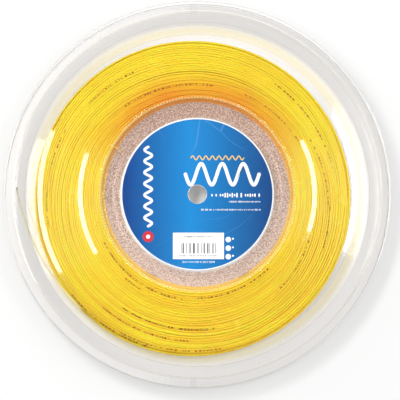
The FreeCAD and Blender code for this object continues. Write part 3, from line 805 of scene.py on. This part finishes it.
def flat_form(work, outline, level, ink):
    """A thin layer of ink in the label's plane, inside an outline given in mm."""
    corners = [work.verts.new((across * MM, along * MM, level)) for across, along in outline]
    bottom = work.faces.new(corners)
    grown = bmesh.ops.extrude_face_region(work, geom=[bottom])["geom"]
    raised = [part for part in grown if isinstance(part, bmesh.types.BMVert)]
    bmesh.ops.translate(work, vec=(0, 0, ink_layer), verts=raised)
    skin = {face for vert in corners + raised for face in vert.link_faces}
    for face in skin:
        face.material_index = ink


def arc_of(centre, radius, start, end, steps):
    """Points round part of a circle, in mm and degrees."""
    turns = [math.radians(start + (end - start) * step / steps) for step in range(steps + 1)]
    return [(centre[0] + radius * math.cos(turn), centre[1] + radius * math.sin(turn)) for turn in turns]


def printed_stroke(work, path, width, level, ink):
    """A stroke of ink with round ends along a path in mm."""
    left, right, headings = [], [], []
    for number, (across, along) in enumerate(path):
        before = path[max(0, number - 1)]
        after = path[min(len(path) - 1, number + 1)]
        heading = math.atan2(after[1] - before[1], after[0] - before[0])
        headings.append(math.degrees(heading))
        side = (-math.sin(heading) * width / 2, math.cos(heading) * width / 2)
        left.append((across + side[0], along + side[1]))
        right.append((across - side[0], along - side[1]))
    end_cap = arc_of(path[-1], width / 2, headings[-1] + 90, headings[-1] - 90, 8)
    start_cap = arc_of(path[0], width / 2, headings[0] - 90, headings[0] - 270, 8)
    flat_form(work, left[:-1] + end_cap + right[-2:0:-1] + start_cap[:-1], level, ink)


def row_of_dashes(work, start, end, height, level, ink, seed):
    """A row of plain upright dashes with a few wider gaps, at the scale of small print."""
    dice = random.Random(seed)
    across = start[0]
    while across < end[0]:
        tall = height * dice.choice((0.55, 0.75, 1.0))
        half = (tall - height * 0.3) / 2
        printed_stroke(work, [(across, start[1] - half), (across, start[1] + half)],
                       height * 0.3, level, ink)
        across += height * dice.choice((0.5, 0.5, 0.5, 0.9))


white_ink, amber_ink, red_ink, dark_ink = range(4)
on_label = label_top - ink_bite
on_patch = on_label + ink_layer
print_work = bmesh.new()
upright = [(-35.4 + 2.6 * math.sin(FULL_TURN * 7 * step / 220), -23.0 + 57.0 * step / 220)
           for step in range(221)]
printed_stroke(print_work, upright, 1.9, on_label, white_ink)
flat_form(print_work, arc_of((-35.4, -30.6), 4.0, 0, 350, 35), on_label, red_ink)
flat_form(print_work, arc_of((-35.4, -30.6), 1.5, 0, 340, 17), on_patch, white_ink)
wave = [(-8.6 + 53.0 * step / 160, 14.4 - 7.6 * math.sin(FULL_TURN * 3.5 * step / 160))
        for step in range(161)]
printed_stroke(print_work, wave, 2.5, on_label, white_ink)
ripple = [(-4.6 + 38.0 * step / 160, 26.2 + 1.4 * math.sin(FULL_TURN * 8 * step / 160))
          for step in range(161)]
printed_stroke(print_work, ripple, 0.8, on_label, amber_ink)
for start, end, height, seed in (
        ((10.5, -0.7), (46.0, -0.7), 3.4, 31), ((23.0, -5.4), (46.0, -5.4), 1.5, 32),
        ((3.0, -11.2), (45.5, -11.2), 1.5, 33), ((-10.4, -48.8), (12.4, -48.8), 1.5, 34)):
    row_of_dashes(print_work, start, end, height, on_label, white_ink, seed)
for row, along in enumerate((-32.6, -38.8, -44.9)):
    flat_form(print_work, arc_of((22.2, along), 2.0, 0, 340, 17), on_label, white_ink)
    flat_form(print_work, arc_of((25.6, along + 0.6), 0.7, 0, 330, 11), on_label, white_ink)
patch = ((-17.6, -46.7), (19.1, -46.7), (19.1, -27.7), (-17.6, -27.7))
flat_form(print_work, patch, on_label, white_ink)
row_of_dashes(print_work, (-9.2, -30.6), (10.8, -30.6), 1.1, on_patch, dark_ink, 35)
row_of_dashes(print_work, (-13.2, -44.3), (14.0, -44.3), 0.9, on_patch, dark_ink, 36)
bar_dice = random.Random(37)
bar_across = -11.4
while bar_across < 13.4:
    bar = bar_dice.choice((0.4, 0.4, 0.8, 1.2))
    flat_form(print_work, ((bar_across, -42.6), (bar_across + bar, -42.6),
                           (bar_across + bar, -35.2), (bar_across, -35.2)), on_patch, dark_ink)
    bar_across += bar + bar_dice.choice((0.5, 0.6, 1.1, 1.8))
bmesh.ops.recalc_face_normals(print_work, faces=print_work.faces)
label_printing = made_piece("label_printing", print_work)
for name, colour in (("white_ink", paper_white), ("amber_ink", screen_colour(238, 196, 92)),
                     ("red_ink", screen_colour(204, 40, 58)), ("dark_ink", screen_colour(66, 62, 66))):
    label_printing.data.materials.append(plain_finish(name, colour, smooth=0.35, rough=0.55))
label_printing.modifiers.new("even_shading", "WEIGHTED_NORMAL")

# Floor, lamps and camera, which aren't part of the reel: a white table seen from almost straight above.
# Two long softboxes make the highlights, with two weak ones inside them and a large panel at each side.
# A small key lamp, which gloss and clear plastic don't show, throws the shadow to the lower right.
floor_mesh = bpy.data.meshes.new("floor")
floor_work = bmesh.new()
bmesh.ops.create_grid(floor_work, x_segments=1, y_segments=1, size=4.0)
floor_work.to_mesh(floor_mesh)
floor_work.free()
floor = bpy.data.objects.new("floor", floor_mesh)
scene.collection.objects.link(floor)
table, table_tree, table_output = blank_material("white_table")
own_glow = 0.28
# Painted light: the floor seen through the clear plastic glows more, for the light the plastic gathers onto
# it.
painted_light_through_plastic = 0.36
matt_white = node_of(table_tree, "ShaderNodeBsdfDiffuse", color=(0.60, 0.60, 0.60, 1))
table_rays = table_tree.nodes.new("ShaderNodeLightPath")
seen = worked_out(table_tree, "ADD", table_rays.outputs["Is Camera Ray"],
                  table_rays.outputs["Is Glossy Ray"], use_clamp=True)
lifted = worked_out(table_tree, "MULTIPLY", seen, own_glow)
lifted_with_painted_light = worked_out(table_tree, "MULTIPLY_ADD", table_rays.outputs["Is Transmission Ray"],
                         painted_light_through_plastic, lifted)
own_white = node_of(table_tree, "ShaderNodeEmission", color=(1, 1, 1, 1), strength=lifted_with_painted_light)
both = table_tree.nodes.new("ShaderNodeAddShader")
table_tree.links.new(matt_white.outputs["BSDF"], both.inputs[0])
table_tree.links.new(own_white.outputs["Emission"], both.inputs[1])
table_tree.links.new(both.outputs["Shader"], table_output.inputs["Surface"])
floor_mesh.materials.append(table)


def facing(spot, away):
    """The place of a lamp or camera at a spot, looking back along a direction with its width level."""
    across = Vector((0, 1, 0)).cross(away).normalized()
    return Matrix.Translation(spot) @ Matrix((across, away.cross(across), away)).transposed().to_4x4()


def softbox(name, spot, width, length, radiance):
    """A rectangular lamp facing the reel, its length along Y."""
    lamp = bpy.data.lights.new(name, "AREA")
    lamp.shape = "RECTANGLE"
    lamp.size = width
    lamp.size_y = length
    lamp.energy = radiance * math.pi * width * length
    holder = bpy.data.objects.new(name, lamp)
    holder.matrix_world = facing(spot, Vector(spot).normalized())
    scene.collection.objects.link(holder)
    return holder


softbox("right_strip", (0.685, 0.145, 1.5), 0.21, 0.63, 13.0)
softbox("left_strip", (-0.61, 0.03, 1.5), 0.20, 0.56, 13.0)
softbox("right_fill", (0.37, 0, 1.5), 0.24, 0.9, 0.2)
softbox("left_fill", (-0.34, 0, 1.5), 0.20, 0.9, 0.15)
softbox("left_panel", (-1.9, 0.9, 1.5), 1.0, 1.0, 2.2)
softbox("right_panel", (1.9, 0.3, 1.5), 1.0, 1.0, 2.5)
key = softbox("key", (-0.5, 0.5, 1.5), 0.4, 0.4, 29.5)
key.visible_glossy = False
key.visible_transmission = False

world = bpy.data.worlds.new("studio")
scene.world = world
world.use_nodes = True
studio = world.node_tree
studio.nodes.clear()
studio_place = studio.nodes.new("ShaderNodeTexCoord")
studio_parts = node_of(studio, "ShaderNodeSeparateXYZ", vector=studio_place.outputs["Generated"])
studio_ramp = node_of(studio, "ShaderNodeValToRGB", fac=studio_parts.outputs["Z"])
studio_ramp.color_ramp.elements[0].position = 0.35
studio_ramp.color_ramp.elements[0].color = (0.42, 0.42, 0.42, 1)
studio_ramp.color_ramp.elements[1].position = 0.85
studio_ramp.color_ramp.elements[1].color = (0.20, 0.20, 0.20, 1)
studio_light = node_of(studio, "ShaderNodeBackground", color=studio_ramp.outputs["Color"])
studio_output = studio.nodes.new("ShaderNodeOutputWorld")
studio.links.new(studio_light.outputs["Background"], studio_output.inputs["Surface"])

camera_tilt = math.radians(3.0)
camera_way = math.radians(250.0)
camera_distance = 3.0
picture_width = 287.3 * MM
aim = Vector((1.8 * MM, -4.4 * MM, half_high.z))
camera = bpy.data.cameras.new("camera")
camera.sensor_width = 36.0
camera.lens = camera.sensor_width * camera_distance / picture_width
viewer = bpy.data.objects.new("camera", camera)
back = Vector((math.cos(camera_way) * math.sin(camera_tilt),
               math.sin(camera_way) * math.sin(camera_tilt), math.cos(camera_tilt)))
viewer.matrix_world = facing(aim + back * camera_distance, back)
scene.collection.objects.link(viewer)
scene.camera = viewer
scene.view_settings.view_transform = "Standard"

bpy.context.view_layer.update()
